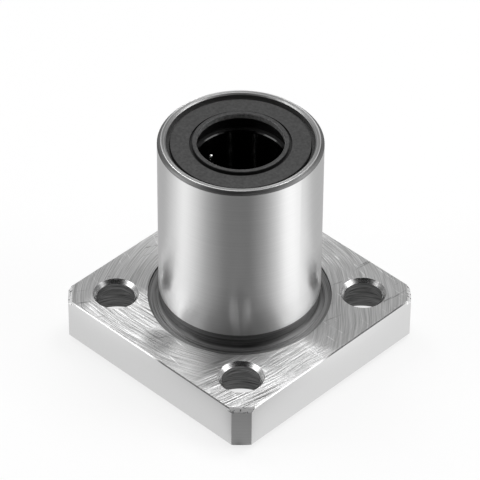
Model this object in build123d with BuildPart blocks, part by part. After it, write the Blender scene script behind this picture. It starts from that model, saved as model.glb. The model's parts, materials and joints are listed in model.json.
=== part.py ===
from build123d import *
import os
from math import atan2, cos, degrees, radians, sin, sqrt

# Flanged linear ball bearing. Millimetres, origin at the centre of the flange's outer face, +Z up the tube.

# Sleeve
shaft_diameter = 10.0
tube_diameter = 19.0
overall_length = 29.0
mouth_wall = 1.0
rim_chamfer = 0.4
mouth_chamfer = 0.15

# Flange: a turned disc, milled to a square
flange_side = 30.0
flange_corner_diameter = 40.2
flange_thickness = 6.0
corner_top_chamfer = 0.48
side_top_chamfer = 0.12
flange_bottom_chamfer = 0.6

# Bolt holes, counterbored from the outer face
bolt_circle_diameter = 29.0
bolt_hole_diameter = 4.5
bolt_hole_chamfer = 0.45
counterbore_diameter = 8.0
counterbore_depth = 4.4
counterbore_chamfer = 0.5

# Foot of the tube, where the ground surface ends
grinding_start_height = 1.8
grinding_relief = 0.25
foot_radius = 0.7
recess_width = 1.3
recess_depth = 0.3

# Ball circuits
circuit_count = 4
first_loaded_angle = 173.0
ball_diameter = 2.0
ball_gap = 0.05
turn_ball_count = 3
turn_tilt = 15.0
return_row_rise = 0.585
ball_to_shaft_clearance = 0.015
ball_to_raceway_clearance = 0.01
ball_to_channel_clearance = 0.04
ball_to_bore_clearance = 0.15

# Raceway lands inside the sleeve
land_arc = 18.0
land_end_relief = 0.5
land_ramp_length = 0.9
land_root_bite = 0.3

# Cage
cage_to_shaft_clearance = 0.2
cage_to_bore_clearance = 0.05
cage_to_land_clearance = 0.12
cage_notch_side_clearance = 0.5
cage_end_wall = 0.5
cage_end_play = 0.02
cage_mouth_chamfer = 0.35
cage_outer_chamfer = 0.3

# Seals
seal_to_seat_clearance = 0.05
seal_flange_thickness = 1.1
seal_face_recess = 0.45
seal_face_inset = 0.5
lip_clearance = 0.03
lip_length = 0.67
lip_undercut = 0.75
collar_wall = 0.5
collar_recess = 0.15
collar_edge_radius = 0.12
collar_groove_width = 0.32
collar_groove_depth = 0.3

# Retaining rings
ring_recess = 0.9
ring_thickness = 0.5
ring_axial_clearance = 0.02
ring_groove_depth = 0.35
ring_to_groove_clearance = 0.05
ring_to_seal_clearance = 0.1
ring_gap_width = 3.0
ring_gap_angle = -45.0

# Radii that follow from the shaft outwards
ball_radius = ball_diameter / 2
channel_radius = ball_radius + ball_to_channel_clearance
lip_radius = shaft_diameter / 2 + lip_clearance
cage_bore_radius = shaft_diameter / 2 + cage_to_shaft_clearance
loaded_row_radius = shaft_diameter / 2 + ball_to_shaft_clearance + ball_radius
return_row_radius = loaded_row_radius + return_row_rise
land_radius = loaded_row_radius + ball_radius + ball_to_raceway_clearance
bore_radius = return_row_radius + ball_radius + ball_to_bore_clearance
tube_radius = tube_diameter / 2
seat_radius = tube_radius - mouth_wall
groove_radius = seat_radius + ring_groove_depth

# Heights that follow from the rim inwards
ring_groove_top = ring_recess - ring_axial_clearance
ring_groove_floor = ring_recess + ring_thickness + ring_axial_clearance
seat_depth = ring_groove_floor + seal_flange_thickness + ring_axial_clearance
middle_height = overall_length / 2
cage_length = overall_length - 2 * (seat_depth + cage_end_play)

# One circuit lies in a frame of its own: x outwards across the chord of its two rows, y from the loaded
# row to the return row, z up. A turn is a half circle on that chord, and its plane leans outwards.
ball_pitch = ball_diameter + ball_gap
turn_step = 180 / turn_ball_count
turn_radius = ball_pitch / (2 * sin(radians(turn_step / 2)))
loaded_row_y = (return_row_radius**2 - loaded_row_radius**2) / (4 * turn_radius) - turn_radius
return_row_y = loaded_row_y + 2 * turn_radius
chord_x = sqrt(loaded_row_radius**2 - loaded_row_y**2)
chord_middle_y = loaded_row_y + turn_radius
turn_rise = turn_radius * cos(radians(turn_tilt)) + channel_radius
row_room = cage_length - 2 * (turn_rise + cage_end_wall)
row_ball_count = int(row_room / ball_pitch)
row_half_length = row_ball_count * ball_pitch / 2
row_top = middle_height + row_half_length
row_bottom = middle_height - row_half_length
loaded_angles = [first_loaded_angle + 360 * i / circuit_count for i in range(circuit_count)]
circuit_turn = -degrees(atan2(loaded_row_y, chord_x))
circuit_planes = [Plane.XY.rotated((0, 0, angle + circuit_turn)) for angle in loaded_angles]

os.makedirs("parts", exist_ok=True)


def finish(builder, name):
    builder.part.label = name
    export_step(builder.part, f"parts/{name}.step")


def mirrored_points(points):
    """The half outline of a bore, from the lower mouth to its middle, and the same again upside down."""
    return points + [(r, overall_length - z) for r, z in reversed(points)]


def make_flange():
    Box(flange_side, flange_side, flange_thickness, align=(Align.CENTER, Align.CENTER, Align.MIN))
    straight_edges = edges().filter_by(Axis.Z, reverse=True).group_by(Axis.Z)
    chamfer(straight_edges[-1], side_top_chamfer)
    chamfer(straight_edges[0], flange_bottom_chamfer)
    disc_radius = flange_corner_diameter / 2
    with BuildSketch(Plane.XZ) as disc:
        with BuildLine():
            Polyline(
                (0, 0),
                (disc_radius - flange_bottom_chamfer, 0),
                (disc_radius, flange_bottom_chamfer),
                (disc_radius, flange_thickness - corner_top_chamfer),
                (disc_radius - corner_top_chamfer, flange_thickness),
                (0, flange_thickness),
                close=True,
            )
        make_face()
    revolve(disc.sketch, axis=Axis.Z, mode=Mode.INTERSECT)


def make_tube():
    recess_floor = flange_thickness - recess_depth
    neck_radius = tube_radius - grinding_relief
    grinding_start = flange_thickness + grinding_start_height
    with BuildSketch(Plane.XY.offset(recess_floor)) as recess:
        Circle(tube_radius + recess_width)
    extrude(recess.sketch, amount=recess_depth, mode=Mode.SUBTRACT)
    with BuildSketch(Plane.XZ) as tube:
        with BuildLine():
            foot = CenterArc(
                (neck_radius + foot_radius, recess_floor + foot_radius), foot_radius, 180, 90
            )
            Polyline(
                foot @ 0,
                (neck_radius, grinding_start - grinding_relief),
                (tube_radius, grinding_start),
                (tube_radius, overall_length - rim_chamfer),
                (tube_radius - rim_chamfer, overall_length),
                (0, overall_length),
                (0, recess_floor),
                foot @ 1,
            )
        make_face()
    revolve(tube.sketch, axis=Axis.Z)


def cut_bore():
    half_outline = [
        (0, 0),
        (seat_radius + mouth_chamfer, 0),
        (seat_radius, mouth_chamfer),
        (seat_radius, ring_groove_top),
        (groove_radius, ring_groove_top),
        (groove_radius, ring_groove_floor),
        (seat_radius, ring_groove_floor),
        (seat_radius, seat_depth),
        (bore_radius, seat_depth),
    ]
    with BuildSketch(Plane.XZ) as bore:
        with BuildLine():
            Polyline(*mirrored_points(half_outline), close=True)
        make_face()
    revolve(bore.sketch, axis=Axis.Z, mode=Mode.SUBTRACT)


def radial_plane(angle):
    """The plane through the axis at an angle from +X: x outwards, y up."""
    outwards = Vector(1, 0, 0).rotate(Axis.Z, angle)
    return Plane(origin=(0, 0, 0), x_dir=outwards, z_dir=outwards.cross(Vector(0, 0, 1)))


def add_raceway_lands():
    land_end = row_half_length - land_end_relief
    ramp_end = land_end - land_ramp_length
    root_radius = bore_radius + land_root_bite
    for angle in loaded_angles:
        with BuildSketch(radial_plane(angle - land_arc / 2)) as land:
            with BuildLine():
                Polyline(
                    (land_radius, middle_height - ramp_end),
                    (bore_radius, middle_height - land_end),
                    (root_radius, middle_height - land_end),
                    (root_radius, middle_height + land_end),
                    (bore_radius, middle_height + land_end),
                    (land_radius, middle_height + ramp_end),
                    close=True,
                )
            make_face()
        revolve(land.sketch, axis=Axis.Z, revolution_arc=land_arc)


def cut_bolt_holes():
    outer_face = Plane.XY.rotated((180, 0, 0))
    with Locations(outer_face):
        with PolarLocations(bolt_circle_diameter / 2, 4, start_angle=45):
            CounterSinkHole(
                counterbore_diameter / 2,
                counterbore_diameter / 2 + counterbore_chamfer,
                depth=counterbore_depth,
                counter_sink_angle=90,
            )
    with Locations(Plane.XY.offset(flange_thickness)):
        with PolarLocations(bolt_circle_diameter / 2, 4, start_angle=45):
            CounterSinkHole(
                bolt_hole_diameter / 2,
                bolt_hole_diameter / 2 + bolt_hole_chamfer,
                depth=flange_thickness,
                counter_sink_angle=90,
            )


def cut_row(plane, row_y):
    """A straight channel for balls, open on its outer side."""
    with BuildSketch(plane.offset(row_bottom)) as channel:
        with Locations((chord_x, row_y)):
            Circle(channel_radius)
            Rectangle(bore_radius, 2 * channel_radius, align=(Align.MIN, Align.CENTER))
    extrude(channel.sketch, amount=row_top - row_bottom, mode=Mode.SUBTRACT)


def turn_plane(plane, upper):
    """The leaning plane of a turn, from its middle: x outwards along its axis, y along the chord."""
    up = 1 if upper else -1
    height = row_top if upper else row_bottom
    lean = radians(turn_tilt)
    outwards = plane.x_dir * cos(lean) - plane.z_dir * (up * sin(lean))
    centre = plane.from_local_coords(Vector(chord_x, chord_middle_y, height))
    return Plane(origin=centre, x_dir=outwards, z_dir=outwards.cross(plane.y_dir))


def cut_turn(plane, upper):
    """A half-round channel from one row to the other, open outwards, with a round seat at each end."""
    section = turn_plane(plane, upper)
    with BuildSketch(section) as channel:
        with Locations((0, turn_radius)):
            Circle(channel_radius)
            Rectangle(bore_radius, 2 * channel_radius, align=(Align.MIN, Align.CENTER))
    axis = Axis(section.origin, section.x_dir)
    revolve(channel.sketch, axis=axis, revolution_arc=180 if upper else -180, mode=Mode.SUBTRACT)
    height = row_top if upper else row_bottom
    ends = [plane.from_local_coords(Vector(chord_x, y, height)) for y in (loaded_row_y, return_row_y)]
    with Locations(*ends):
        Sphere(channel_radius, mode=Mode.SUBTRACT)


def ball_train(name, points):
    """One group of separate balls with their centres at the points."""
    with BuildPart() as balls:
        with Locations(*points):
            Sphere(ball_radius)
    finish(balls, name)


def row_points(plane, row_y, first_height):
    heights = [first_height + i * ball_pitch for i in range(row_ball_count)]
    return [plane.from_local_coords(Vector(chord_x, row_y, height)) for height in heights]


def turn_points(plane, upper, first_step):
    """Ball centres on a turn, counted in steps from the loaded row."""
    section = turn_plane(plane, upper)
    rise = section.z_dir if upper else section.z_dir * -1
    points = []
    for i in range(turn_ball_count):
        angle = radians((first_step + i) * turn_step)
        offset = plane.y_dir * (-cos(angle) * turn_radius) + rise * (sin(angle) * turn_radius)
        points.append(section.origin + offset)
    return points


def make_seal(name, upper):
    """A seal stands on its inner face here, and is turned over for the lower end."""
    flange_radius = seat_radius - seal_to_seat_clearance
    face_radius = seat_radius - seal_face_inset
    inner_height = seat_depth - ring_axial_clearance
    ledge = ring_recess + ring_thickness + ring_axial_clearance
    collar_radius = lip_radius + collar_wall
    lip_foot = collar_recess + lip_length
    groove_floor = seal_face_recess + collar_groove_depth
    # Radius and depth below the rim, round the section from the collar's top
    section = [
        (lip_radius, collar_recess),
        (collar_radius, collar_recess),
        (collar_radius, groove_floor),
        (collar_radius + collar_groove_width, groove_floor),
        (collar_radius + collar_groove_width, seal_face_recess),
        (face_radius, seal_face_recess),
        (face_radius, ledge),
        (flange_radius, ledge),
        (flange_radius, inner_height),
        (lip_radius + lip_undercut, inner_height),
        (lip_radius + lip_undercut, lip_foot + lip_undercut),
        (lip_radius, lip_foot),
    ]
    outline = [(r, overall_length - depth if upper else depth) for r, depth in section]
    with BuildPart() as seal:
        with BuildSketch(Plane.XZ):
            with BuildLine():
                Polyline(*outline, close=True)
            make_face()
        revolve(axis=Axis.Z)
        top = seal.edges().filter_by(GeomType.CIRCLE).group_by(Axis.Z)[-1 if upper else 0]
        fillet(top, collar_edge_radius)
    finish(seal, name)


def make_retaining_ring(name, height):
    outer_radius = groove_radius - ring_to_groove_clearance
    inner_radius = seat_radius - seal_face_inset + ring_to_seal_clearance
    with BuildPart() as ring:
        with BuildSketch(Plane.XY.offset(height).rotated((0, 0, ring_gap_angle))):
            Circle(outer_radius)
            Circle(inner_radius, mode=Mode.SUBTRACT)
            with Locations((outer_radius, 0)):
                Rectangle(outer_radius, ring_gap_width, mode=Mode.SUBTRACT)
        extrude(amount=ring_thickness)
    finish(ring, name)


# Outer sleeve: flange and tube turned from one bar, hardened and ground
with BuildPart() as flanged_sleeve:
    make_flange()
    make_tube()
    cut_bore()
    add_raceway_lands()
    cut_bolt_holes()
finish(flanged_sleeve, "flanged_sleeve")

# Ball cage: one moulding, notched along its whole length so that it slides in past the raceway lands
cage_radius = bore_radius - cage_to_bore_clearance
notch_radius = land_radius - cage_to_land_clearance
notch_width = 2 * land_radius * sin(radians(land_arc / 2)) + cage_notch_side_clearance
with BuildPart() as ball_cage:
    with BuildSketch(Plane.XY.offset(middle_height - cage_length / 2)):
        Circle(cage_radius)
    extrude(amount=cage_length)
    chamfer(ball_cage.edges().filter_by(GeomType.CIRCLE), cage_outer_chamfer)
    with BuildSketch(Plane.XY.offset(middle_height - cage_length / 2)):
        Circle(cage_bore_radius)
    extrude(amount=cage_length, mode=Mode.SUBTRACT)
    mouths = ball_cage.edges().filter_by(GeomType.CIRCLE)
    chamfer(mouths.filter_by(lambda edge: abs(edge.radius - cage_bore_radius) < 0.001), cage_mouth_chamfer)
    for angle in loaded_angles:
        with BuildSketch(Plane.XY.offset(middle_height - cage_length / 2).rotated((0, 0, angle))):
            with Locations((notch_radius, 0)):
                Rectangle(bore_radius, notch_width, align=(Align.MIN, Align.CENTER))
        extrude(amount=cage_length, mode=Mode.SUBTRACT)
    for circuit in circuit_planes:
        cut_row(circuit, loaded_row_y)
        cut_row(circuit, return_row_y)
        cut_turn(circuit, upper=True)
        cut_turn(circuit, upper=False)
finish(ball_cage, "ball_cage")

# Ball trains. At rest a loaded row reaches its upper end and a return row its lower end.
for number, circuit in enumerate(circuit_planes, start=1):
    ball_train(f"loaded_balls_{number}", row_points(circuit, loaded_row_y, row_bottom + ball_pitch))
    ball_train(f"return_balls_{number}", row_points(circuit, return_row_y, row_bottom))
    ball_train(f"upper_turn_balls_{number}", turn_points(circuit, True, 1))
    ball_train(f"lower_turn_balls_{number}", turn_points(circuit, False, 0))

# Seals and the split rings that hold them in the sleeve's mouths
make_seal("upper_seal", upper=True)
make_seal("lower_seal", upper=False)
make_retaining_ring("upper_retaining_ring", overall_length - ring_recess - ring_thickness)
make_retaining_ring("lower_retaining_ring", ring_recess)
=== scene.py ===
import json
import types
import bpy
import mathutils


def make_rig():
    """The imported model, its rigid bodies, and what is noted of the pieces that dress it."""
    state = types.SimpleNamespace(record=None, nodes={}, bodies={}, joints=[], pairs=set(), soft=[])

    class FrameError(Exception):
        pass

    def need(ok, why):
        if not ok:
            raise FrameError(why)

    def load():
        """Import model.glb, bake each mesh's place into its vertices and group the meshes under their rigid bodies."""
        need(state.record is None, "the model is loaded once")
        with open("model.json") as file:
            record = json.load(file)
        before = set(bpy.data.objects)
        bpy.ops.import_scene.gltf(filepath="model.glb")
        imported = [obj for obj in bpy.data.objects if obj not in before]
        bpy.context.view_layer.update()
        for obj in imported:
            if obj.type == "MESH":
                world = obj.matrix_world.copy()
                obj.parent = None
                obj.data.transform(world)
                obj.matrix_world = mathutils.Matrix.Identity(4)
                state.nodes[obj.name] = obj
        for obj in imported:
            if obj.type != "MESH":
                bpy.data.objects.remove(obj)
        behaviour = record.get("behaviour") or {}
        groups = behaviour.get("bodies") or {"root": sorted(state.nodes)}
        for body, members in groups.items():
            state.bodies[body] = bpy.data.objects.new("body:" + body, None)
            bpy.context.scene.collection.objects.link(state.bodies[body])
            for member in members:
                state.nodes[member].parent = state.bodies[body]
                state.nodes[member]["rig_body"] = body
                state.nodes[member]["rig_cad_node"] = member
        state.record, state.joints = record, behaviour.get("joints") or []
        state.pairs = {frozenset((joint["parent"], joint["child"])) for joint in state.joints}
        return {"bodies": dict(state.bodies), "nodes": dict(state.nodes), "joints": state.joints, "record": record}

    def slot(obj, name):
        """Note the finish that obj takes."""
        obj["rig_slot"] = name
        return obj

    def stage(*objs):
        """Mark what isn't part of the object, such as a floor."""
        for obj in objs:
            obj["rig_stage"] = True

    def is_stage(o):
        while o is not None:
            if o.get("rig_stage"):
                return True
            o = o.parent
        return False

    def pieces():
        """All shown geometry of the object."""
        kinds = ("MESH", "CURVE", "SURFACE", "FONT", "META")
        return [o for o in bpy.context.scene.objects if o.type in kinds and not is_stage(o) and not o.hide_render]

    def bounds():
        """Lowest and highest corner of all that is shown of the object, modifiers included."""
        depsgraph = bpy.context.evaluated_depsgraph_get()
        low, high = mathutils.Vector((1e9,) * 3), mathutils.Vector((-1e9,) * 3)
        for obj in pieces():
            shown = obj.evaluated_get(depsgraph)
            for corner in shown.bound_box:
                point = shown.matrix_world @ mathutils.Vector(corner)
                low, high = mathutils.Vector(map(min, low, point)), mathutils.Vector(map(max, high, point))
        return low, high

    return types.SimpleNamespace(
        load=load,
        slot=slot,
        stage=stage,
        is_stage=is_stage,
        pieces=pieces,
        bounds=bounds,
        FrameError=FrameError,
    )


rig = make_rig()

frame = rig.load()
CAD_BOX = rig.bounds()

import json
import math

import bpy
from mathutils import Matrix, Vector

bl_info = {
    "name": "Flanged linear bearing",
    "version": (1, 0, 0),
    "blender": (4, 5, 0),
    "location": "3D Viewport > Sidebar > Bearing",
    "description": "Finishes and stage for a square flanged linear ball bearing",
    "category": "Object",
}

# Sizes of the sleeve in millimetres, as far as its finishes follow them
TUBE_RADIUS = 9.5
HEIGHT = 29.0
RIM_CHAMFER = 0.4
# Where the rim's two painted highlights end: in from the tube's radius, and out from the mouth's
RIM_OUTER_HIGHLIGHT = 0.52
RIM_INNER_HIGHLIGHT = 0.23
MOUTH_RADIUS = 8.5
MOUTH_CHAMFER = 0.15
FLANGE_HALF_SIDE = 15.0
FLANGE_CORNER_RADIUS = 20.1
FLANGE_THICKNESS = 6.0
SIDE_CHAMFER = 0.12
CORNER_CHAMFER = 0.48
RECESS_RADIUS = 10.8
RECESS_FLOOR = 5.7
FOOT_RADIUS = 9.95
FOOT_TOP = 6.4
NECK_RADIUS = 9.25
GROUND_FROM = 7.8
HOLE_CIRCLE_RADIUS = 14.5
HOLE_RADIUS = 2.25
HOLE_CHAMFER = 0.45
# The counterbores with their chamfer, clear of the bolt hole's wall and of the flange's underside
COUNTERBORE_INNER = 2.3
COUNTERBORE_REACH = 4.55
COUNTERBORE_HEIGHTS = (0.02, 4.4)
# Outside the flange's corners, for bands that have no outer end
BEYOND = 22
# A band that ends at an edge stops this short of it, so that it leaves the next face out
SHORT = 0.01


def linear(hex_colour):
    """An sRGB hex colour as linear RGBA."""
    channels = [int(hex_colour[i : i + 2], 16) / 255 for i in (1, 3, 5)]
    return [c / 12.92 if c <= 0.04045 else ((c + 0.055) / 1.055) ** 2.4 for c in channels] + [1.0]


def add_node(tree, kind, inputs=None, **settings):
    """Adds a node with its settings. An input takes a value, or the socket that feeds it."""
    made = tree.nodes.new(kind)
    for name, value in settings.items():
        setattr(made, name, value)
    for key, value in (inputs or {}).items():
        if isinstance(value, bpy.types.NodeSocket):
            tree.links.new(value, made.inputs[key])
        else:
            made.inputs[key].default_value = value
    return made


def new_material(name):
    """An empty node material and its tree."""
    material = bpy.data.materials.new(name)
    material.use_nodes = True
    material.node_tree.nodes.clear()
    return material, material.node_tree


def set_surface(tree, shader):
    """Makes a shader the material's surface."""
    add_node(tree, "ShaderNodeOutputMaterial", {"Surface": shader.outputs[0]})


def give(node_names, material, slot):
    """Puts a material on CAD nodes in place of the plain one, and names the slot it stands for."""
    for name in node_names:
        piece = frame["nodes"][name]
        for material_slot in piece.material_slots:
            material_slot.material = material
        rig.slot(piece, slot)


# The sleeve's surfaces, each as bands of its coordinates in millimetres, with its finish. Radius and height
# are the bearing's own, side is the larger of |x| and |y|, and hole is the distance from the nearest bolt
# hole's axis. Grain is how strongly the tool's lines show, anisotropy how far they stretch a highlight.
SURFACES = {
    "flange top, brushed": {
        "bands": {"height": (FLANGE_THICKNESS, FLANGE_THICKNESS), "radius": (RECESS_RADIUS, BEYOND)},
        "tone": 0.8, "roughness": 0.42, "grain": 1.0, "anisotropy": 0.5,
    },
    # Painted shade: the recess, the tube's foot and its neck are given a low tone for their undercut
    "turned recess, painted shade": {
        "bands": {"radius": (FOOT_RADIUS, RECESS_RADIUS), "height": (RECESS_FLOOR, FLANGE_THICKNESS - SHORT)},
        "tone": 0.35, "roughness": 0.45, "grain": 1.2, "anisotropy": 0.5,
    },
    "turned foot of the tube, painted shade": {
        "bands": {"radius": (NECK_RADIUS, FOOT_RADIUS), "height": (RECESS_FLOOR, FOOT_TOP)},
        "tone": 0.25, "roughness": 0.5, "grain": 1.6, "anisotropy": 0.3,
    },
    "turned neck, painted shade": {
        "bands": {"radius": (NECK_RADIUS, TUBE_RADIUS), "height": (FOOT_TOP, GROUND_FROM)},
        "tone": 0.27, "roughness": 0.5, "grain": 1.0, "anisotropy": 0.5,
    },
    "tube, ground": {
        "bands": {"radius": (TUBE_RADIUS, TUBE_RADIUS), "height": (GROUND_FROM, HEIGHT - RIM_CHAMFER)},
        "tone": 1.0, "roughness": 0.29, "grain": 0.08, "anisotropy": 0.5,
    },
    "rim's outer chamfer, turned": {
        "bands": {
            "radius": (TUBE_RADIUS - RIM_CHAMFER, TUBE_RADIUS),
            "height": (HEIGHT - RIM_CHAMFER, HEIGHT),
        },
        "tone": 0.24, "roughness": 0.45, "grain": 1.6, "anisotropy": 0.3,
    },
    "rim, faced": {
        "bands": {"radius": (MOUTH_RADIUS, TUBE_RADIUS), "height": (HEIGHT, HEIGHT)},
        "tone": 0.56, "roughness": 0.4, "grain": 1.2, "anisotropy": 0.4,
    },
    # Painted highlights: the rim's two edges are given a lighter tone than its face
    "rim's inner edge, painted highlight": {
        "bands": {
            "radius": (MOUTH_RADIUS + MOUTH_CHAMFER, MOUTH_RADIUS + RIM_INNER_HIGHLIGHT),
            "height": (HEIGHT, HEIGHT),
        },
        "tone": 0.8, "roughness": 0.3, "grain": 1.0, "anisotropy": 0.3,
    },
    "rim's outer edge, painted highlight": {
        "bands": {
            "radius": (TUBE_RADIUS - RIM_OUTER_HIGHLIGHT, TUBE_RADIUS - RIM_CHAMFER),
            "height": (HEIGHT, HEIGHT),
        },
        "tone": 1.15, "roughness": 0.3, "grain": 1.0, "anisotropy": 0.3,
    },
    "mouth chamfer": {
        "bands": {
            "radius": (MOUTH_RADIUS, MOUTH_RADIUS + MOUTH_CHAMFER),
            "height": (HEIGHT - MOUTH_CHAMFER, HEIGHT - SHORT),
        },
        "tone": 0.55, "roughness": 0.4, "grain": 0.6, "anisotropy": 0.3,
    },
    "flange sides, ground": {
        "bands": {"side": (FLANGE_HALF_SIDE, FLANGE_HALF_SIDE), "height": (0, FLANGE_THICKNESS)},
        "tone": 1.0, "roughness": 0.3, "grain": 0.0, "anisotropy": 0.0,
    },
    "flange's top edges, broken with a file": {
        "bands": {
            "side": (FLANGE_HALF_SIDE - SIDE_CHAMFER, FLANGE_HALF_SIDE),
            "height": (FLANGE_THICKNESS - SIDE_CHAMFER, FLANGE_THICKNESS - SHORT),
        },
        "tone": 0.6, "roughness": 0.4, "grain": 0.3, "anisotropy": 0.0,
    },
    "corners, turned": {
        "bands": {"radius": (FLANGE_CORNER_RADIUS, FLANGE_CORNER_RADIUS), "height": (0, FLANGE_THICKNESS)},
        "tone": 0.9, "roughness": 0.35, "grain": 0.1, "anisotropy": 0.3,
    },
    "corners' top chamfer, turned": {
        "bands": {
            "radius": (FLANGE_CORNER_RADIUS - CORNER_CHAMFER, FLANGE_CORNER_RADIUS),
            "height": (FLANGE_THICKNESS - CORNER_CHAMFER, FLANGE_THICKNESS - SHORT),
        },
        "tone": 1.4, "roughness": 0.5, "grain": 1.0, "anisotropy": 0.0,
    },
    "bolt holes, drilled": {
        "bands": {"hole": (HOLE_RADIUS, HOLE_RADIUS), "height": (0, FLANGE_THICKNESS)},
        "tone": 0.8, "roughness": 0.4, "grain": 1.5, "anisotropy": 0.0,
    },
    "bolt holes' chamfer": {
        "bands": {
            "hole": (HOLE_RADIUS, HOLE_RADIUS + HOLE_CHAMFER),
            "height": (FLANGE_THICKNESS - HOLE_CHAMFER, FLANGE_THICKNESS - SHORT),
        },
        "tone": 0.85, "roughness": 0.26, "grain": 0.5, "anisotropy": 0.0,
    },
    "counterbores, milled": {
        "bands": {"hole": (COUNTERBORE_INNER, COUNTERBORE_REACH), "height": COUNTERBORE_HEIGHTS},
        "tone": 0.7, "roughness": 0.42, "grain": 1.5, "anisotropy": 0.0,
    },
}
# The seals' surfaces: radius from the axis, depth below the bearing's nearer end, and tone against the rest.
# The collar's groove and the hollow past the lip are darkened as painted shade, the lip is lightened as painted light
SEAL_SURFACES = {
    "collar's groove, painted shade": {"bands": {"radius": (5.53, 5.85), "depth": (0.3, 0.8)}, "tone": 0.15},
    "lip, painted light": {"bands": {"radius": (5.0, 5.12), "depth": (0.2, 0.84)}, "tone": 5.0},
    "hollow past the lip, painted shade": {"bands": {"radius": (5.0, 5.8), "depth": (0.86, 2.6)}, "tone": 0.1},
}
# The cage's matt ring where the mould parted, in the same way
CAGE_PARTING = {"radius": (5.32, 6.5), "depth": (2.5, 2.78)}
# Every band reaches this much further each way, to take in a curved face's flat pieces
BAND_MARGIN = 0.006

# Patches of the flange's top that were brushed another way: the strokes' centre, the patch's middle, its
# reach, how light it is against the rest, which paints highlight and shade, and how coarse its strokes are.
# The real strokes are finer than the render can show, so a coarse patch draws them wider.
BRUSHED_PATCHES = (
    ((-23, -26), (11.3, 7.1), 8.5, 1.02, 1.0),
    ((-6, 45), (-6.0, -12.5), 6.5, 1.4, 1.9),
    ((-33, -1), (11.7, -11.5), 6.4, 1.15, 2.0),
    ((-6, 45), (-0.9, -12.2), 3.0, 0.5, 1.6),
    ((-33, -1), (12.2, -4.4), 3.4, 0.8, 1.8),
)
PATCH_FADE = 2.0
PATCH_SHARE = 0.85
STROKE_LENGTH = 6.0
# How far the strokes wander from side to side, and how many times in a millimetre
STROKE_BEND = 1.6
STROKE_BEND_SCALE = 0.1
# Deep scratches: light ones lie round the first of these centres, dark ones round the second
SCRATCH_CENTRES = ((14, 60), (-70, 22))
SCRATCH_GAP = 0.4
SCRATCH_LEVELS = (0.64, 0.7)
SCRATCH_DEPTH = 0.45
# How far a turning line moves on per millimetre of height, so that walls show lines as faces do
TURNING_SLOPE = 0.7
# How much a drilled ring varies round its hole
DRILLING_STRETCH = 0.4
# Painted highlight and shade: light and dark stretches of the flange's top edges, measured along its diagonal
PAINTED_EDGE_LENGTH = 19.5
PAINTED_EDGE_DIAGONAL = (0.707, 0.707, 0)
PAINTED_EDGE_LEVELS = (-0.25, 0.3)
PAINTED_EDGE_TONES = (0.2, 1.6)
# Flecks torn out of the corners' chamfer: how many in a millimetre, how large, and how dark
FLECK_SCALE = 3.0
FLECK_LEVELS = (0.53, 0.62)
FLECK_TONE = 0.2
# Depth of the lines in the steel, in metres
GRAIN_DEPTH = 0.00005
# A noise keeps mostly to this part of its range
NOISE_LOW, NOISE_HIGH = 0.3, 0.7


def band_mask(tree, where, bands, label):
    """One inside all the bands of coordinates, else nought."""
    mask = None
    for coordinate, (low, high) in bands.items():
        inside = add_node(
            tree, "ShaderNodeMath",
            {0: where[coordinate], 1: (low + high) / 2, 2: (high - low) / 2 + BAND_MARGIN},
            operation="COMPARE", label=label,
        ).outputs[0]
        if mask is not None:
            inside = add_node(tree, "ShaderNodeMath", {0: mask, 1: inside}, operation="MULTIPLY").outputs[0]
        mask = inside
    return mask


def coordinates(tree):
    """Sockets for the coordinates that the surfaces are told apart by, in millimetres."""
    place = add_node(tree, "ShaderNodeTexCoord")
    millimetres = add_node(
        tree, "ShaderNodeVectorMath", {0: place.outputs["Object"], 3: 1000}, operation="SCALE"
    )
    xyz = add_node(tree, "ShaderNodeSeparateXYZ", {0: millimetres.outputs[0]})
    flat = add_node(tree, "ShaderNodeCombineXYZ", {0: xyz.outputs[0], 1: xyz.outputs[1]})
    radius = add_node(tree, "ShaderNodeVectorMath", {0: flat.outputs[0]}, operation="LENGTH")
    folded = add_node(tree, "ShaderNodeVectorMath", {0: flat.outputs[0]}, operation="ABSOLUTE")
    sides = add_node(tree, "ShaderNodeSeparateXYZ", {0: folded.outputs[0]})
    side = add_node(tree, "ShaderNodeMath", {0: sides.outputs[0], 1: sides.outputs[1]}, operation="MAXIMUM")
    hole_place = HOLE_CIRCLE_RADIUS * math.sqrt(0.5)
    hole = add_node(
        tree, "ShaderNodeVectorMath",
        {0: folded.outputs[0], 1: (hole_place, hole_place, 0)}, operation="DISTANCE",
    )
    above_middle = add_node(tree, "ShaderNodeMath", {0: xyz.outputs[2], 1: HEIGHT / 2}, operation="SUBTRACT")
    from_middle = add_node(tree, "ShaderNodeMath", {0: above_middle.outputs[0]}, operation="ABSOLUTE")
    depth = add_node(tree, "ShaderNodeMath", {0: HEIGHT / 2, 1: from_middle.outputs[0]}, operation="SUBTRACT")
    return {
        "point": millimetres.outputs[0],
        "flat": flat.outputs[0],
        "radius": radius.outputs["Value"],
        "height": xyz.outputs[2],
        "depth": depth.outputs[0],
        "side": side.outputs[0],
        "hole": hole.outputs["Value"],
    }


class SleeveSettings(bpy.types.PropertyGroup):
    steel: bpy.props.FloatVectorProperty(
        name="Steel", description="Reflection colour of the hardened bearing steel", subtype="COLOR",
        size=4, min=0, max=1, default=linear("#D8D8D8"),
    )
    scratch_spacing: bpy.props.FloatProperty(
        name="Scratch spacing", description="Distance between brushing scratches on the flange, in mm",
        default=0.12, min=0.02, max=2,
    )
    scratch_contrast: bpy.props.FloatProperty(
        name="Scratch contrast", description="How light and dark the scratches are",
        default=1.7, min=0, max=4,
    )
    turning_pitch: bpy.props.FloatProperty(
        name="Turning pitch", description="Distance between turning and grinding lines, in mm",
        default=0.11, min=0.02, max=2,
    )


class SealSettings(bpy.types.PropertyGroup):
    rubber: bpy.props.FloatVectorProperty(
        name="Rubber", description="Colour of the moulded nitrile rubber", subtype="COLOR",
        size=4, min=0, max=1, default=linear("#303030"),
    )


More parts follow.
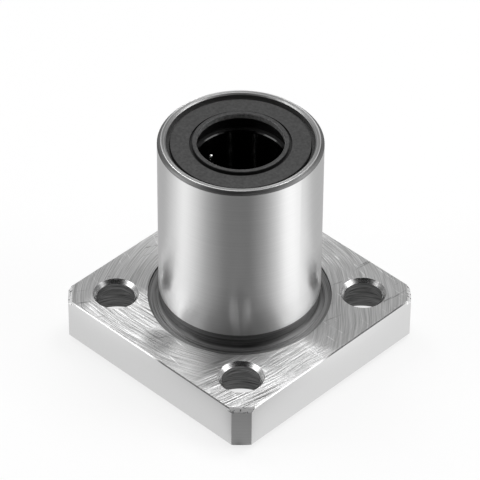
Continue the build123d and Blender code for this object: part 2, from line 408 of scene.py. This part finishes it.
class StageSettings(bpy.types.PropertyGroup):
    floor_size: bpy.props.FloatProperty(
        name="Floor size", description="Side of the square floor", default=3.0, min=0.2, unit="LENGTH",
    )
    sky: bpy.props.FloatVectorProperty(
        name="Surroundings", description="Colour of the plain light all round", subtype="COLOR",
        size=3, min=0, max=1, default=linear("#AEAEAE")[:3],
    )
    side_power: bpy.props.FloatProperty(
        name="Side lamps", description="Power of each side soft box, in watts",
        default=0.7, min=0, unit="POWER",
    )
    top_power: bpy.props.FloatProperty(
        name="Top lamp", description="Power of the overhead soft box, in watts",
        default=0.3, min=0, unit="POWER",
    )
    back_power: bpy.props.FloatProperty(
        name="Back lamps", description="Power of the right soft box behind, in watts; the left has half",
        default=1.15, min=0, unit="POWER",
    )


class BEARING_OT_sleeve(bpy.types.Operator):
    """Finish the flanged sleeve: ground tube, brushed flange and turned corners"""

    bl_idname = "bearing.sleeve"
    bl_label = "Sleeve"

    def surface_values(self, tree, where, base):
        """Tone, roughness, grain and anisotropy over the whole sleeve, and each surface's mask."""
        values = dict(base)
        masks = {}
        for name, surface in SURFACES.items():
            masks[name] = band_mask(tree, where, surface["bands"], name)
            for key in values:
                values[key] = add_node(
                    tree, "ShaderNodeMix",
                    {0: masks[name], 2: values[key], 3: surface[key]}, data_type="FLOAT",
                ).outputs[0]
        return values, masks

    def strokes(self, tree, where, centre, bend, spacing):
        """Scratches round a centre, and the way across them. A far centre gives straight ones."""
        about = add_node(
            tree, "ShaderNodeVectorMath", {0: where["flat"], 1: (*centre, 0)}, operation="SUBTRACT"
        )
        bent = add_node(tree, "ShaderNodeVectorMath", {0: about.outputs[0], 1: bend}, operation="ADD")
        far = add_node(tree, "ShaderNodeVectorMath", {0: bent.outputs[0]}, operation="LENGTH")
        across = add_node(tree, "ShaderNodeVectorMath", {0: bent.outputs[0]}, operation="NORMALIZE")
        reach = math.hypot(*centre) + HOLE_CIRCLE_RADIUS
        along = add_node(
            tree, "ShaderNodeVectorMath", {0: across.outputs[0], 3: reach / STROKE_LENGTH}, operation="SCALE"
        )
        row = add_node(
            tree, "ShaderNodeMath", {0: far.outputs["Value"], 1: 1 / spacing}, operation="MULTIPLY"
        )
        lift = add_node(tree, "ShaderNodeCombineXYZ", {2: row.outputs[0]})
        lines = add_node(
            tree, "ShaderNodeVectorMath", {0: along.outputs[0], 1: lift.outputs[0]}, operation="ADD"
        )
        scratch = add_node(
            tree, "ShaderNodeTexNoise",
            {"Vector": lines.outputs[0], "Scale": 1.0, "Detail": 3.0, "Roughness": 0.62},
        )
        return scratch.outputs["Fac"], across.outputs[0]

    def brushing(self, tree, where, spacing):
        """Emery strokes round the tube, and straighter ones along the flange's sides that lie across them."""
        wander = add_node(
            tree, "ShaderNodeTexNoise", {"Vector": where["flat"], "Scale": STROKE_BEND_SCALE, "Detail": 1.0}
        )
        centred = add_node(
            tree, "ShaderNodeVectorMath",
            {0: wander.outputs["Color"], 1: (0.5, 0.5, 0.5)}, operation="SUBTRACT",
        )
        bend = add_node(
            tree, "ShaderNodeVectorMath",
            {0: centred.outputs[0], 1: (STROKE_BEND, STROKE_BEND, 0)}, operation="MULTIPLY",
        )
        height, across = self.strokes(tree, where, (0, 0), bend.outputs[0], spacing)
        painted_light = 1.0
        for centre, middle, reach, patch_painted_light, coarse in BRUSHED_PATCHES:
            patch_height, patch_across = self.strokes(tree, where, centre, bend.outputs[0], spacing * coarse)
            deepened = add_node(
                tree, "ShaderNodeMath",
                {0: patch_height, 1: coarse, 2: 0.5 - 0.5 * coarse}, operation="MULTIPLY_ADD",
            ).outputs[0]
            ragged = add_node(
                tree, "ShaderNodeVectorMath", {0: where["flat"], 1: bend.outputs[0]}, operation="ADD"
            )
            away = add_node(
                tree, "ShaderNodeVectorMath", {0: ragged.outputs[0], 1: (*middle, 0)}, operation="DISTANCE"
            )
            share = add_node(
                tree, "ShaderNodeMapRange",
                {0: away.outputs["Value"], 1: reach, 2: reach - PATCH_FADE, 3: 0.0, 4: PATCH_SHARE},
                interpolation_type="SMOOTHSTEP",
            )
            height = add_node(
                tree, "ShaderNodeMix", {0: share.outputs[0], 2: height, 3: deepened}, data_type="FLOAT"
            ).outputs[0]
            across = add_node(
                tree, "ShaderNodeMix", {0: share.outputs[0], 4: across, 5: patch_across}, data_type="VECTOR"
            ).outputs[1]
            # How light the patch is: painted highlight and shade
            painted_light = add_node(
                tree, "ShaderNodeMix",
                {0: share.outputs[0], 2: painted_light, 3: patch_painted_light}, data_type="FLOAT",
            ).outputs[0]
        return height, across, painted_light

    def deep_scratches(self, tree, where):
        """A few long thin scratches that cross the strokes."""
        low, high = SCRATCH_LEVELS
        marks = []
        for centre in SCRATCH_CENTRES:
            height, _ = self.strokes(tree, where, centre, (0, 0, 0), SCRATCH_GAP)
            mark = add_node(
                tree, "ShaderNodeMapRange", {0: height, 1: low, 2: high}, interpolation_type="SMOOTHSTEP"
            )
            marks.append(mark.outputs[0])
        return add_node(tree, "ShaderNodeMath", {0: marks[0], 1: marks[1]}, operation="SUBTRACT").outputs[0]

    def turning(self, tree, where, pitch):
        """Fine lines round the axis, as a lathe tool or a grinding wheel leaves them."""
        outwards = add_node(tree, "ShaderNodeVectorMath", {0: where["flat"]}, operation="NORMALIZE")
        slope = add_node(
            tree, "ShaderNodeMath",
            {0: where["height"], 1: TURNING_SLOPE, 2: where["radius"]}, operation="MULTIPLY_ADD",
        )
        row = add_node(tree, "ShaderNodeMath", {0: slope.outputs[0], 1: 1 / pitch}, operation="MULTIPLY")
        lift = add_node(tree, "ShaderNodeCombineXYZ", {2: row.outputs[0]})
        lines = add_node(
            tree, "ShaderNodeVectorMath", {0: outwards.outputs[0], 1: lift.outputs[0]}, operation="ADD"
        )
        return add_node(
            tree, "ShaderNodeTexNoise", {"Vector": lines.outputs[0], "Scale": 1.0, "Detail": 2.0}
        ).outputs["Fac"]

    def drilling(self, tree, where, pitch):
        """Rings round each bolt hole, and one where the surface is a hole's or a counterbore's."""
        squeeze = (DRILLING_STRETCH, DRILLING_STRETCH, 1 / pitch)
        squeezed = add_node(
            tree, "ShaderNodeVectorMath", {0: where["point"], 1: squeeze}, operation="MULTIPLY"
        )
        rings = add_node(
            tree, "ShaderNodeTexNoise", {"Vector": squeezed.outputs[0], "Scale": 1.0, "Detail": 2.0}
        )
        hole_reach = HOLE_RADIUS + HOLE_CHAMFER + SHORT
        upper = add_node(tree, "ShaderNodeMath", {0: where["hole"], 1: hole_reach}, operation="LESS_THAN")
        lower = band_mask(
            tree, where, {"hole": (0, COUNTERBORE_REACH), "height": COUNTERBORE_HEIGHTS}, "counterbore"
        )
        inside = add_node(tree, "ShaderNodeMath", {0: upper.outputs[0], 1: lower}, operation="MAXIMUM")
        return rings.outputs["Fac"], inside.outputs[0]

    def painted_edge_light(self, tree, where):
        """Painted highlight and shade: light and dark stretches along the flange's broken top edges."""
        along = add_node(
            tree, "ShaderNodeVectorMath", {0: where["flat"], 1: PAINTED_EDGE_DIAGONAL}, operation="DOT_PRODUCT"
        )
        turn = add_node(
            tree, "ShaderNodeMath",
            {0: along.outputs["Value"], 1: 2 * math.pi / PAINTED_EDGE_LENGTH}, operation="MULTIPLY",
        )
        swing = add_node(tree, "ShaderNodeMath", {0: turn.outputs[0]}, operation="SINE")
        low, high = PAINTED_EDGE_LEVELS
        dark, light = PAINTED_EDGE_TONES
        return add_node(
            tree, "ShaderNodeMapRange", {0: swing.outputs[0], 1: low, 2: high, 3: dark, 4: light},
            interpolation_type="SMOOTHSTEP",
        ).outputs[0]

    def torn_flecks(self, tree, where):
        """Black flecks where the turning tool tore the steel at the corners."""
        spots = add_node(
            tree, "ShaderNodeTexNoise", {"Vector": where["point"], "Scale": FLECK_SCALE, "Detail": 3.0}
        )
        low, high = FLECK_LEVELS
        return add_node(
            tree, "ShaderNodeMapRange", {0: spots.outputs["Fac"], 1: low, 2: high, 3: 1.0, 4: FLECK_TONE}
        ).outputs[0]

    def execute(self, context):
        settings = context.scene.bearing_sleeve
        # Hardened bearing steel: tube and sides ground, the flange's top brushed with emery, the neck, the
        # rim and the corners left as turned. That gives soft bright bands on the tube and a satin of scratches on
        # the flange. The undercuts' darkness is painted shade in their tone.
        material, tree = new_material("ground_and_brushed_bearing_steel")
        where = coordinates(tree)
        base = {"tone": 0.6, "roughness": 0.35, "grain": 0.2, "anisotropy": 0.0}
        values, masks = self.surface_values(tree, where, base)
        brushed, across, painted_light = self.brushing(tree, where, settings.scratch_spacing)
        turned = self.turning(tree, where, settings.turning_pitch)
        drilled, in_holes = self.drilling(tree, where, settings.turning_pitch)
        on_top = masks["flange top, brushed"]
        lines = add_node(tree, "ShaderNodeMix", {0: in_holes, 2: turned, 3: drilled}, data_type="FLOAT")
        lines = add_node(
            tree, "ShaderNodeMix", {0: on_top, 2: lines.outputs[0], 3: brushed}, data_type="FLOAT"
        )
        centred = add_node(tree, "ShaderNodeMath", {0: lines.outputs[0], 1: 0.5}, operation="SUBTRACT")
        grain = add_node(
            tree, "ShaderNodeMath", {0: centred.outputs[0], 1: values["grain"]}, operation="MULTIPLY"
        )
        shade = add_node(
            tree, "ShaderNodeMath", {0: grain.outputs[0], 1: settings.scratch_contrast, 2: 1.0},
            operation="MULTIPLY_ADD",
        )
        tone = add_node(
            tree, "ShaderNodeMath", {0: shade.outputs[0], 1: values["tone"]}, operation="MULTIPLY"
        )
        # The deep scratches, with the patches' painted highlight and shade
        scratches_and_painted_light = add_node(
            tree, "ShaderNodeMath", {0: self.deep_scratches(tree, where), 1: SCRATCH_DEPTH, 2: painted_light},
            operation="MULTIPLY_ADD",
        )
        # Painted highlight and shade go on the flange's top and on its top edges; the corners get torn flecks
        for name, factor in (
            ("flange top, brushed", scratches_and_painted_light.outputs[0]),
            ("flange's top edges, broken with a file", self.painted_edge_light(tree, where)),
            ("corners' top chamfer, turned", self.torn_flecks(tree, where)),
        ):
            local = add_node(tree, "ShaderNodeMix", {0: masks[name], 2: 1.0, 3: factor}, data_type="FLOAT")
            tone = add_node(
                tree, "ShaderNodeMath", {0: tone.outputs[0], 1: local.outputs[0]}, operation="MULTIPLY"
            )
        steel = add_node(
            tree, "ShaderNodeVectorMath", {0: settings.steel[:3], 3: tone.outputs[0]}, operation="SCALE"
        )
        bump = add_node(
            tree, "ShaderNodeBump", {"Height": grain.outputs[0], "Distance": GRAIN_DEPTH, "Strength": 1.0}
        )
        # The strokes' own direction on the flange, and round the axis elsewhere
        outwards = add_node(tree, "ShaderNodeVectorMath", {0: where["flat"]}, operation="NORMALIZE")
        way = add_node(
            tree, "ShaderNodeMix", {0: on_top, 4: outwards.outputs[0], 5: across}, data_type="VECTOR"
        )
        tangent = add_node(
            tree, "ShaderNodeVectorMath", {0: (0, 0, 1), 1: way.outputs[1]}, operation="CROSS_PRODUCT"
        )
        shader = add_node(
            tree, "ShaderNodeBsdfPrincipled",
            {
                "Base Color": steel.outputs[0], "Metallic": 1.0, "Roughness": values["roughness"],
                "Normal": bump.outputs[0], "Tangent": tangent.outputs[0], "Anisotropic": values["anisotropy"],
                "Anisotropic Rotation": 0.25,
            },
        )
        set_surface(tree, shader)
        give(["flanged_sleeve"], material, "ground_bearing_steel")
        return {"FINISHED"}


class BEARING_OT_seals(bpy.types.Operator):
    """Finish the two moulded seals"""

    bl_idname = "bearing.seals"
    bl_label = "Seals"

    # The texture: how many grains in a millimetre, their depth in metres, and how dark and light they are
    texture_scale = 3.2
    texture_depth = 0.00003
    texture_tones = (0.55, 1.45)

    def execute(self, context):
        settings = context.scene.bearing_seals
        # Nitrile rubber moulded in a spark-eroded tool: a fine matt texture with a weak sheen
        material, tree = new_material("moulded_nitrile_rubber")
        where = coordinates(tree)
        texture = add_node(
            tree, "ShaderNodeTexNoise", {"Vector": where["point"], "Scale": self.texture_scale, "Detail": 4.0}
        )
        bump = add_node(
            tree, "ShaderNodeBump",
            {"Height": texture.outputs["Fac"], "Distance": self.texture_depth, "Strength": 0.8},
        )
        dark, light = self.texture_tones
        tone = add_node(
            tree, "ShaderNodeMapRange",
            {0: texture.outputs["Fac"], 1: NOISE_LOW, 2: NOISE_HIGH, 3: dark, 4: light},
        ).outputs[0]
        # Painted shade in the collar's groove and in the hollow past the lip, and painted light on the lip
        for name, surface in SEAL_SURFACES.items():
            mask = band_mask(tree, where, surface["bands"], name)
            local = add_node(tree, "ShaderNodeMix", {0: mask, 2: 1.0, 3: surface["tone"]}, data_type="FLOAT")
            tone = add_node(
                tree, "ShaderNodeMath", {0: tone, 1: local.outputs[0]}, operation="MULTIPLY"
            ).outputs[0]
        rubber = add_node(tree, "ShaderNodeVectorMath", {0: settings.rubber[:3], 3: tone}, operation="SCALE")
        shader = add_node(
            tree, "ShaderNodeBsdfPrincipled",
            {"Base Color": rubber.outputs[0], "Roughness": 0.5, "IOR": 1.52, "Normal": bump.outputs[0]},
        )
        set_surface(tree, shader)
        give(["upper_seal", "lower_seal"], material, "seal_rubber")
        return {"FINISHED"}


class BEARING_OT_cage(bpy.types.Operator):
    """Finish the moulded ball cage"""

    bl_idname = "bearing.cage"
    bl_label = "Ball cage"

    # Roughness where the mould was polished, and where it parted
    polished = (0.11, 0.17)
    parted = 0.75

    def execute(self, context):
        # Black acetal, injection moulded: smooth and waxy, with a soft highlight, and matt where the mould
        # parted round the mouth
        material, tree = new_material("moulded_black_acetal")
        where = coordinates(tree)
        low, high = self.polished
        flow = add_node(tree, "ShaderNodeTexNoise", {"Vector": where["point"], "Scale": 1.2, "Detail": 2.0})
        gloss = add_node(
            tree, "ShaderNodeMapRange", {0: flow.outputs["Fac"], 1: NOISE_LOW, 2: NOISE_HIGH, 3: low, 4: high}
        )
        parting = band_mask(tree, where, CAGE_PARTING, "mouth's outer part, matt")
        roughness = add_node(
            tree, "ShaderNodeMix", {0: parting, 2: gloss.outputs[0], 3: self.parted}, data_type="FLOAT"
        )
        shader = add_node(
            tree, "ShaderNodeBsdfPrincipled",
            {"Base Color": linear("#050505"), "Roughness": roughness.outputs[0], "IOR": 1.48},
        )
        set_surface(tree, shader)
        give(["ball_cage"], material, "moulded_cage")
        return {"FINISHED"}


class BEARING_OT_rings(bpy.types.Operator):
    """Finish the two retaining rings"""

    bl_idname = "bearing.rings"
    bl_label = "Retaining rings"

    # The crystals: how many in a metre, drawn coarser than the real ones so that they show, and their tones
    crystal_scale = 5000.0
    crystal_tones = (0.7, 1.3)

    def execute(self, context):
        # Spring steel, phosphated black: a dry dark grey, slightly mottled
        material, tree = new_material("phosphated_spring_steel")
        place = add_node(tree, "ShaderNodeTexCoord")
        dark, light = self.crystal_tones
        crystals = add_node(
            tree, "ShaderNodeTexNoise",
            {"Vector": place.outputs["Object"], "Scale": self.crystal_scale, "Detail": 3.0},
        )
        tone = add_node(
            tree, "ShaderNodeMapRange",
            {0: crystals.outputs["Fac"], 1: NOISE_LOW, 2: NOISE_HIGH, 3: dark, 4: light},
        )
        coat = add_node(
            tree, "ShaderNodeVectorMath", {0: linear("#4A4A4A")[:3], 3: tone.outputs[0]}, operation="SCALE"
        )
        shader = add_node(
            tree, "ShaderNodeBsdfPrincipled",
            {"Base Color": coat.outputs[0], "Metallic": 0.6, "Roughness": 0.5},
        )
        set_surface(tree, shader)
        give(["upper_retaining_ring", "lower_retaining_ring"], material, "ring_steel")
        return {"FINISHED"}


class BEARING_OT_balls(bpy.types.Operator):
    """Finish the balls of the four circuits"""

    bl_idname = "bearing.balls"
    bl_label = "Balls"

    # The haze that lapping leaves: how many patches in a metre, and the roughness that it varies over
    haze_scale = 1500.0
    haze_roughness = (0.06, 0.12)

    def execute(self, context):
        # Chrome steel balls, lapped and polished: near mirrors
        material, tree = new_material("lapped_chrome_steel")
        place = add_node(tree, "ShaderNodeTexCoord")
        low, high = self.haze_roughness
        haze = add_node(
            tree, "ShaderNodeTexNoise",
            {"Vector": place.outputs["Object"], "Scale": self.haze_scale, "Detail": 2.0},
        )
        gloss = add_node(
            tree, "ShaderNodeMapRange", {0: haze.outputs["Fac"], 1: NOISE_LOW, 2: NOISE_HIGH, 3: low, 4: high}
        )
        shader = add_node(
            tree, "ShaderNodeBsdfPrincipled",
            {"Base Color": linear("#D2D2D2"), "Metallic": 1.0, "Roughness": gloss.outputs[0]},
        )
        set_surface(tree, shader)
        give([name for name in frame["nodes"] if "_balls_" in name], material, "ball_steel")
        return {"FINISHED"}


class BEARING_OT_stage(bpy.types.Operator):
    """Add the floor, the lamps, the black board, the shaded card and the camera"""

    bl_idname = "bearing.stage"
    bl_label = "Stage"

    # The camera: angles in degrees, distances in metres, lens and sensor in millimetres
    azimuth = 44.057
    elevation = 40.332
    roll = 0.427
    distance = 0.415713
    target_height = 0.014156
    lens = 269.385
    sensor = 36
    # The floor and the card lie this far under the bearing's foot, in metres
    floor_drop = 0.00002
    card_drop = 0.00001
    # How much of the floor's own white a ray sees that comes from the camera, or by way of a mirror
    floor_glow = 0.8
    # The black board behind the camera: reach, foot and top in metres, half of its arc in degrees, its facets
    board_reach = 0.5
    board_foot = 0.03
    board_top = 1.4
    board_half_turn = 48
    board_facets = 12
    # The card: half its side in metres, how strongly it shines, and its grey behind the bearing
    card_half_side = 0.45
    card_strength = 1.5
    card_back = 0.45
    # Its shading round the bearing: the angle to the right of the camera's, in degrees, and the grey there
    card_shading = (
        (-134, 0.35), (-112, 0.37), (-92, 0.58), (-75, 0.86), (-58, 0.64), (-40, 0.32), (-20, 0.15),
        (12, 0.13), (30, 0.28), (46, 0.58), (58, 0.95), (71, 0.97), (88, 0.66), (105, 0.4), (150, 0.36),
    )
    # Beside the flange the card is plain, and a strip of it in front of the turned corner is dark. Reaches
    # and the strip's half width and end are in metres.
    card_beside_reach = 0.0286
    card_front_reach = 0.0204
    card_beside_levels = (0.86, 0.95)
    card_strip = (0.003, 0.028)
    card_strip_level = 0.37
    # Under the flange, seen through its holes, the card is nearly black: painted shade of the flange
    card_under_reach = 0.0212
    card_under_level = 0.17

    def front(self, turn, rise=0.0):
        """The direction at an angle to the right of the camera's, seen from the bearing, and at a rise."""
        a, e = math.radians(self.azimuth + turn), math.radians(rise)
        return Vector((math.sin(a) * math.cos(e), -math.cos(a) * math.cos(e), math.sin(e)))

    def make_square(self, name, half, drop):
        """A level square round the bearing's axis, a little under its foot."""
        mesh = bpy.data.meshes.new(name)
        corners = [(-half, -half, 0), (half, -half, 0), (half, half, 0), (-half, half, 0)]
        mesh.from_pydata(corners, [], [(0, 1, 2, 3)])
        square = bpy.data.objects.new(name, mesh)
        square.location.z = -drop
        return square

    def make_camera(self, context):
        """The camera, at the photograph's own view."""
        camera = bpy.data.cameras.new("camera")
        camera.lens = self.lens
        camera.sensor_width = self.sensor
        camera.clip_start, camera.clip_end = 0.01, 20
        back = self.front(0, self.elevation)
        right = Vector((0, 0, 1)).cross(back).normalized()
        up = back.cross(right)
        r = math.radians(self.roll)
        x_axis = right * math.cos(r) + up * math.sin(r)
        y_axis = up * math.cos(r) - right * math.sin(r)
        stand = bpy.data.objects.new("camera", camera)
        rotation = Matrix((x_axis, y_axis, back)).transposed().to_4x4()
        place = Vector((0, 0, self.target_height)) + back * self.distance
        stand.matrix_world = Matrix.Translation(place) @ rotation
        context.scene.collection.objects.link(stand)
        context.scene.camera = stand

    def make_floor(self, context):
        """A pale floor that the camera and mirrors see as nearly white, and that keeps the shadow."""
        floor = self.make_square("floor", context.scene.bearing_stage.floor_size / 2, self.floor_drop)
        material, tree = new_material("pale_floor")
        paper = add_node(tree, "ShaderNodeBsdfDiffuse", {"Color": linear("#F2F2F2")})
        white = add_node(tree, "ShaderNodeEmission", {"Color": (1, 1, 1, 1), "Strength": 1.0})
        ray = add_node(tree, "ShaderNodeLightPath")
        seen = add_node(
            tree, "ShaderNodeMath",
            {0: ray.outputs["Is Camera Ray"], 1: ray.outputs["Is Glossy Ray"]}, operation="MAXIMUM",
        )
        shown = add_node(
            tree, "ShaderNodeMath",
            {0: seen.outputs[0], 1: ray.outputs["Is Transmission Ray"]}, operation="MAXIMUM",
        )
        share = add_node(
            tree, "ShaderNodeMath", {0: shown.outputs[0], 1: self.floor_glow}, operation="MULTIPLY"
        )
        surface = add_node(
            tree, "ShaderNodeMixShader", {0: share.outputs[0], 1: paper.outputs[0], 2: white.outputs[0]}
        )
        set_surface(tree, surface)
        floor.data.materials.append(material)
        context.scene.collection.objects.link(floor)
        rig.stage(floor)

    def add_lamp(self, context, name, turn, rise, distance, width, height, power):
        """A soft box that faces the bearing, out of the camera's sight."""
        lamp = bpy.data.lights.new(name, "AREA")
        lamp.shape = "RECTANGLE"
        lamp.size, lamp.size_y = width, height
        lamp.energy = power
        stand = bpy.data.objects.new(name, lamp)
        way = self.front(turn, rise)
        stand.location = way * distance
        stand.rotation_mode = "QUATERNION"
        stand.rotation_quaternion = way.to_track_quat("Z", "Y")
        stand.visible_camera = False
        context.scene.collection.objects.link(stand)

    def add_front_board(self, context):
        """A black board behind the camera, seen only in reflections."""
        board = bpy.data.meshes.new("front_board")
        steps = self.board_facets
        turns = [self.board_half_turn * (2 * i / steps - 1) for i in range(steps + 1)]
        ends = (self.board_foot, self.board_top)
        corners = [self.front(turn) * self.board_reach + Vector((0, 0, z)) for turn in turns for z in ends]
        board.from_pydata(corners, [], [(2 * i, 2 * i + 1, 2 * i + 3, 2 * i + 2) for i in range(steps)])
        stand = bpy.data.objects.new("front_board", board)
        material, tree = new_material("black_board")
        set_surface(tree, add_node(tree, "ShaderNodeBsdfDiffuse", {"Color": linear("#101010")}))
        board.materials.append(material)
        stand.visible_camera = False
        context.scene.collection.objects.link(stand)
        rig.stage(stand)

    def add_shaded_card(self, context):
        """A card round the bearing, seen only in reflections: its soft shading gives the tube broad bands."""
        card = self.make_square("shaded_card", self.card_half_side, self.card_drop)
        card.rotation_euler.z = math.radians(self.azimuth)
        material, tree = new_material("shaded_card")
        place = add_node(tree, "ShaderNodeTexCoord")
        xyz = add_node(tree, "ShaderNodeSeparateXYZ", {0: place.outputs["Object"]})
        to_front = add_node(tree, "ShaderNodeMath", {0: xyz.outputs[1], 1: -1.0}, operation="MULTIPLY")
        angle = add_node(
            tree, "ShaderNodeMath", {0: xyz.outputs[0], 1: to_front.outputs[0]}, operation="ARCTAN2"
        )
        turn = add_node(tree, "ShaderNodeMapRange", {0: angle.outputs[0], 1: -math.pi, 2: math.pi})
        ramp = add_node(tree, "ShaderNodeValToRGB", {0: turn.outputs[0]})
        stops = ramp.color_ramp.elements
        stops[0].color = stops[1].color = (self.card_back, self.card_back, self.card_back, 1)
        for degrees, level in self.card_shading:
            stops.new(degrees / 360 + 0.5).color = (level, level, level, 1)
        shading = add_node(
            tree, "ShaderNodeMath", {0: ramp.outputs["Color"], 1: self.card_strength}, operation="MULTIPLY"
        ).outputs[0]
        sideways = add_node(tree, "ShaderNodeMath", {0: xyz.outputs[0]}, operation="ABSOLUTE").outputs[0]
        endways = add_node(tree, "ShaderNodeMath", {0: xyz.outputs[1]}, operation="ABSOLUTE").outputs[0]
        half_width, strip_end = self.card_strip
        narrow = add_node(tree, "ShaderNodeMath", {0: sideways, 1: half_width}, operation="LESS_THAN")
        short = add_node(
            tree, "ShaderNodeMath", {0: to_front.outputs[0], 1: strip_end}, operation="LESS_THAN"
        )
        in_front = add_node(
            tree, "ShaderNodeMath", {0: to_front.outputs[0], 1: 0.0}, operation="GREATER_THAN"
        )
        strip = add_node(
            tree, "ShaderNodeMath", {0: narrow.outputs[0], 1: short.outputs[0]}, operation="MULTIPLY"
        )
        strip = add_node(
            tree, "ShaderNodeMath", {0: strip.outputs[0], 1: in_front.outputs[0]}, operation="MULTIPLY"
        )
        shading = add_node(
            tree, "ShaderNodeMix",
            {0: strip.outputs[0], 2: shading, 3: self.card_strip_level}, data_type="FLOAT",
        ).outputs[0]
        around = add_node(tree, "ShaderNodeMath", {0: sideways, 1: endways}, operation="ADD")
        near = add_node(
            tree, "ShaderNodeMath", {0: around.outputs[0], 1: self.card_beside_reach}, operation="LESS_THAN"
        )
        behind = add_node(
            tree, "ShaderNodeMath", {0: to_front.outputs[0], 1: self.card_front_reach}, operation="LESS_THAN"
        )
        beside = add_node(
            tree, "ShaderNodeMath", {0: near.outputs[0], 1: behind.outputs[0]}, operation="MULTIPLY"
        )
        right = add_node(tree, "ShaderNodeMath", {0: xyz.outputs[0], 1: 0.0}, operation="GREATER_THAN")
        left_level, right_level = self.card_beside_levels
        plain = add_node(
            tree, "ShaderNodeMix",
            {0: right.outputs[0], 2: left_level, 3: right_level}, data_type="FLOAT",
        )
        level = add_node(
            tree, "ShaderNodeMix", {0: beside.outputs[0], 2: shading, 3: plain.outputs[0]}, data_type="FLOAT"
        )
        under = add_node(
            tree, "ShaderNodeMath", {0: around.outputs[0], 1: self.card_under_reach}, operation="LESS_THAN"
        )
        level = add_node(
            tree, "ShaderNodeMix",
            {0: under.outputs[0], 2: level.outputs[0], 3: self.card_under_level}, data_type="FLOAT",
        )
        set_surface(tree, add_node(tree, "ShaderNodeEmission", {"Strength": level.outputs[0]}))
        card.data.materials.append(material)
        card.visible_camera = False
        card.visible_diffuse = False
        card.visible_shadow = False
        context.scene.collection.objects.link(card)
        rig.stage(card)

    def execute(self, context):
        settings = context.scene.bearing_stage
        world = bpy.data.worlds.new("plain_light")
        world.use_nodes = True
        background = world.node_tree.nodes["Background"]
        background.inputs["Color"].default_value = (*settings.sky, 1)
        background.inputs["Strength"].default_value = 1.0
        context.scene.world = world
        context.scene.view_settings.view_transform = "Standard"
        self.make_floor(context)
        # Each lamp's angle to the right of the camera's and its rise, in degrees, then its distance, width
        # and height in metres, and its power
        self.add_lamp(context, "left_soft_box", -80, 25, 0.45, 0.2, 0.4, settings.side_power)
        self.add_lamp(context, "right_soft_box", 80, 25, 0.45, 0.2, 0.4, settings.side_power)
        self.add_lamp(context, "top_soft_box", 180, 80, 0.5, 0.36, 0.36, settings.top_power)
        self.add_lamp(context, "right_back_soft_box", 122, 66, 0.6, 0.2, 0.2, settings.back_power)
        self.add_lamp(context, "left_back_soft_box", -136, 57, 0.6, 0.2, 0.2, settings.back_power / 2)
        self.add_front_board(context)
        self.add_shaded_card(context)
        self.make_camera(context)
        return {"FINISHED"}


class BEARING_PT_panel(bpy.types.Panel):
    """Finishes and stage of the bearing"""

    bl_idname = "BEARING_PT_panel"
    bl_label = "Flanged linear bearing"
    bl_space_type = "VIEW_3D"
    bl_region_type = "UI"
    bl_category = "Bearing"

    def draw(self, context):
        layout = self.layout
        scene = context.scene
        for operator, settings in STEPS:
            box = layout.box()
            box.operator(operator.bl_idname)
            group = getattr(scene, settings, None) if settings else None
            for name in group.bl_rna.properties.keys() if group else ():
                if name not in {"rna_type", "name"}:
                    box.prop(group, name)


STEPS = (
    (BEARING_OT_sleeve, "bearing_sleeve"),
    (BEARING_OT_seals, "bearing_seals"),
    (BEARING_OT_cage, None),
    (BEARING_OT_rings, None),
    (BEARING_OT_balls, None),
    (BEARING_OT_stage, "bearing_stage"),
)
SETTINGS = {
    "bearing_sleeve": SleeveSettings,
    "bearing_seals": SealSettings,
    "bearing_stage": StageSettings,
}


def register():
    """Adds the settings, the operators and the panel."""
    for name, group in SETTINGS.items():
        bpy.utils.register_class(group)
        setattr(bpy.types.Scene, name, bpy.props.PointerProperty(type=group))
    for operator, _ in STEPS:
        bpy.utils.register_class(operator)
    bpy.utils.register_class(BEARING_PT_panel)


def unregister():
    """Takes them out again, in the opposite order."""
    bpy.utils.unregister_class(BEARING_PT_panel)
    for operator, _ in reversed(STEPS):
        bpy.utils.unregister_class(operator)
    for name, group in SETTINGS.items():
        delattr(bpy.types.Scene, name)
        bpy.utils.unregister_class(group)


def main():
    """Finishes every piece, sets up the stage, and writes the boxes before and after."""
    register()
    bpy.ops.bearing.sleeve()
    bpy.ops.bearing.seals()
    bpy.ops.bearing.cage()
    bpy.ops.bearing.rings()
    bpy.ops.bearing.balls()
    bpy.ops.bearing.stage()
    boxes = {"cad": [list(c) for c in CAD_BOX], "visual": [list(c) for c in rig.bounds()]}
    with open("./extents.json", "w") as file:
        json.dump(boxes, file)


if __name__ == "__main__":
    main()
